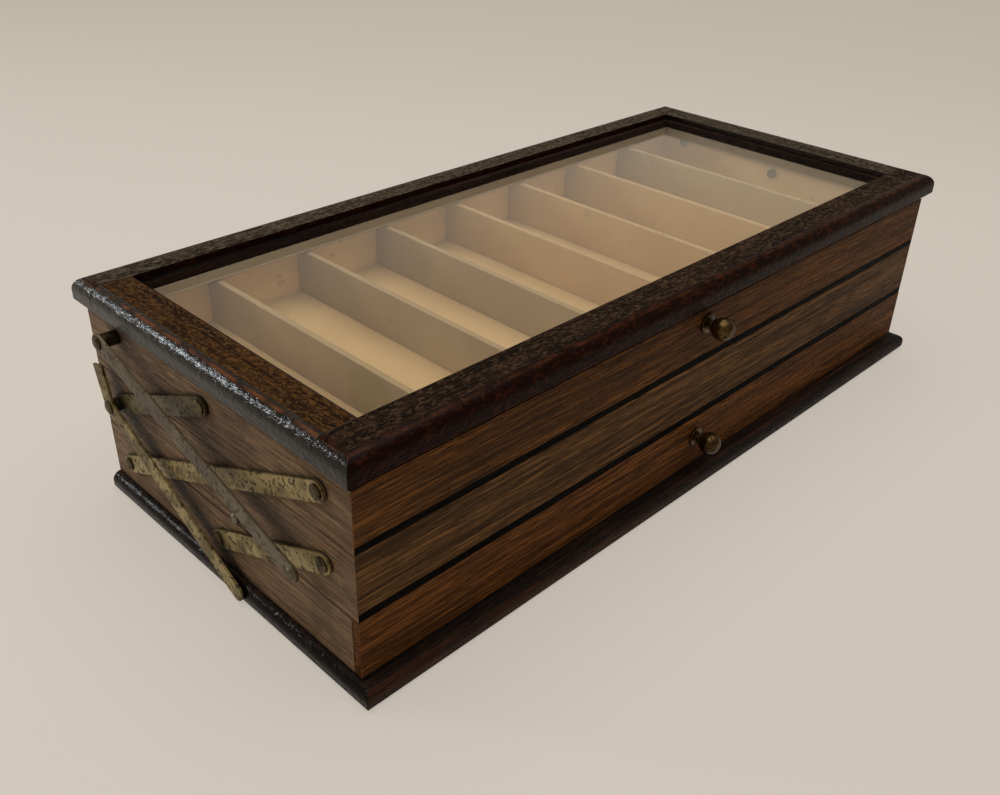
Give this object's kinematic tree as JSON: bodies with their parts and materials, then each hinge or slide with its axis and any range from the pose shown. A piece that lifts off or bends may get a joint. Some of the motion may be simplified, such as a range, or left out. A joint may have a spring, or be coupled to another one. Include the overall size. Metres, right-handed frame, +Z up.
{
  "type": "cantilever display case",
  "caption": "Tabletop oak display case of stacked trays on swinging brass links, with a glazed lid, parted trays and a drawer below.",
  "frame": {"origin": "under the middle of the tiers, on the plane that the case stands on", "axes": "+X along the front to the right, -Y towards the front, +Z up"},
  "size_m": [0.6396, 0.3014, 0.1624],
  "materials": {
    "lid_oak": "old dark varnish, pitted",
    "case_oak": "dark stained oak, satin",
    "drawer_oak": "bare wood, matt",
    "panel_board": "dark stained board, matt",
    "card_lining": "aged cream card, matt",
    "partition_card": "aged cream card, matt",
    "pane_glass": "clear, dusty",
    "strip_brass": "tarnished",
    "pivot_brass": "dark tarnish",
    "knob_brass": "dark bronzed, worn",
    "screw_steel": "dull"
  },
  "bodies": {
    "root": {"base_board": "case_oak", "bottom_back": "case_oak", "bottom_bolts": "pivot_brass", "bottom_end_left": "case_oak", "bottom_end_right": "case_oak", "bottom_nuts": "pivot_brass", "bottom_washers": "pivot_brass", "drawer_runners": "drawer_oak"},
    "drawer": {"drawer_back": "drawer_oak", "drawer_bottom": "panel_board", "drawer_front": "case_oak", "drawer_inner_front": "drawer_oak", "drawer_knob": "knob_brass", "drawer_knob_screw": "screw_steel", "drawer_lining": "card_lining", "drawer_sides": "drawer_oak"},
    "middle_tray": {"middle_back": "case_oak", "middle_bolts": "pivot_brass", "middle_bottom": "panel_board", "middle_end_left": "case_oak", "middle_end_right": "case_oak", "middle_front": "case_oak", "middle_lining": "card_lining", "middle_nuts": "pivot_brass", "middle_partitions": "partition_card", "middle_washers": "pivot_brass", "stop_screws": "screw_steel"},
    "top_tray": {"hinge_pins": "screw_steel", "top_back": "case_oak", "top_bolts": "pivot_brass", "top_bottom": "panel_board", "top_end_left": "case_oak", "top_end_right": "case_oak", "top_front": "case_oak", "top_knob": "knob_brass", "top_knob_screw": "screw_steel", "top_lining": "card_lining", "top_nuts": "pivot_brass", "top_partitions": "partition_card", "top_washers": "pivot_brass", "tray_hinge_leaves": "strip_brass"},
    "lid": {"glass_pane": "pane_glass", "glazing_beads": "lid_oak", "lid_hinge_leaves": "strip_brass", "lid_rail_back": "lid_oak", "lid_rail_front": "lid_oak", "lid_stile_left": "lid_oak", "lid_stile_right": "lid_oak"},
    "long_link_left": {"long_link_left": "strip_brass"},
    "long_link_right": {"long_link_right": "strip_brass"},
    "lower_link_left": {"lower_link_left": "strip_brass"},
    "lower_link_right": {"lower_link_right": "strip_brass"},
    "middle_leg_left": {"middle_leg_left": "strip_brass"},
    "middle_leg_right": {"middle_leg_right": "strip_brass"},
    "top_leg_left": {"top_leg_left": "strip_brass", "top_leg_rivet_left": "pivot_brass"},
    "top_leg_right": {"top_leg_right": "strip_brass", "top_leg_rivet_right": "pivot_brass"},
    "upper_link_left": {"upper_link_left": "strip_brass"},
    "upper_link_right": {"upper_link_right": "strip_brass"}
  },
  "joints": [
    {"name": "cantilever_swing", "type": "hinge", "parent": "root", "child": "long_link_left", "pos_m": [0, 0.1115, 0.0325], "axis": [-1, 0, 0], "range_deg": [0, 92]},
    {"name": "middle_tray_level", "type": "hinge", "parent": "long_link_left", "child": "middle_tray", "pos_m": [0, 0, 0.0805], "axis": [-1, 0, 0], "range_deg": [-92, 0]},
    {"name": "top_tray_level", "type": "hinge", "parent": "long_link_left", "child": "top_tray", "pos_m": [0, -0.1115, 0.1285], "axis": [-1, 0, 0], "range_deg": [-92, 0]},
    {"name": "long_link_right_swing", "type": "hinge", "parent": "root", "child": "long_link_right", "pos_m": [0, 0.1115, 0.0325], "axis": [-1, 0, 0], "range_deg": [0, 92]},
    {"name": "lower_link_left_swing", "type": "hinge", "parent": "root", "child": "lower_link_left", "pos_m": [0, 0, 0.0325], "axis": [-1, 0, 0], "range_deg": [0, 92]},
    {"name": "upper_link_left_swing", "type": "hinge", "parent": "middle_tray", "child": "upper_link_left", "pos_m": [0, 0.1115, 0.0805], "axis": [-1, 0, 0], "range_deg": [0, 92]},
    {"name": "middle_leg_left_swing", "type": "hinge", "parent": "middle_tray", "child": "middle_leg_left", "pos_m": [0, 0.1115, 0.0805], "axis": [1, 0, 0], "range_deg": [0, 33.4]},
    {"name": "top_leg_left_swing", "type": "hinge", "parent": "top_tray", "child": "top_leg_left", "pos_m": [0, 0.1005, 0.1341], "axis": [1, 0, 0], "range_deg": [0, 72]},
    {"name": "lower_link_right_swing", "type": "hinge", "parent": "root", "child": "lower_link_right", "pos_m": [0, 0, 0.0325], "axis": [-1, 0, 0], "range_deg": [0, 92]},
    {"name": "upper_link_right_swing", "type": "hinge", "parent": "middle_tray", "child": "upper_link_right", "pos_m": [0, 0.1115, 0.0805], "axis": [-1, 0, 0], "range_deg": [0, 92]},
    {"name": "middle_leg_right_swing", "type": "hinge", "parent": "middle_tray", "child": "middle_leg_right", "pos_m": [0, 0.1115, 0.0805], "axis": [1, 0, 0], "range_deg": [0, 33.4]},
    {"name": "top_leg_right_swing", "type": "hinge", "parent": "top_tray", "child": "top_leg_right", "pos_m": [0, 0.1005, 0.1341], "axis": [1, 0, 0], "range_deg": [0, 72]},
    {"name": "lid_open", "type": "hinge", "parent": "top_tray", "child": "lid", "pos_m": [0, 0.1405, 0.1408], "axis": [-1, 0, 0], "range_deg": [0, 95]},
    {"name": "drawer_slide", "type": "slide", "parent": "root", "child": "drawer", "axis": [0, -1, 0], "range_m": [0, 0.19]}
  ],
  "couplings": [
    {"joint": "middle_tray_level", "follows": "cantilever_swing", "ratio": -1},
    {"joint": "top_tray_level", "follows": "cantilever_swing", "ratio": -1},
    {"joint": "long_link_right_swing", "follows": "cantilever_swing", "ratio": 1},
    {"joint": "lower_link_left_swing", "follows": "cantilever_swing", "ratio": 1},
    {"joint": "upper_link_left_swing", "follows": "cantilever_swing", "ratio": 1},
    {"joint": "middle_leg_left_swing", "follows": "cantilever_swing", "ratio": 0.363},
    {"joint": "top_leg_left_swing", "follows": "cantilever_swing", "ratio": 0.7826},
    {"joint": "lower_link_right_swing", "follows": "cantilever_swing", "ratio": 1},
    {"joint": "upper_link_right_swing", "follows": "cantilever_swing", "ratio": 1},
    {"joint": "middle_leg_right_swing", "follows": "cantilever_swing", "ratio": 0.363},
    {"joint": "top_leg_right_swing", "follows": "cantilever_swing", "ratio": 0.7826}
  ]
}
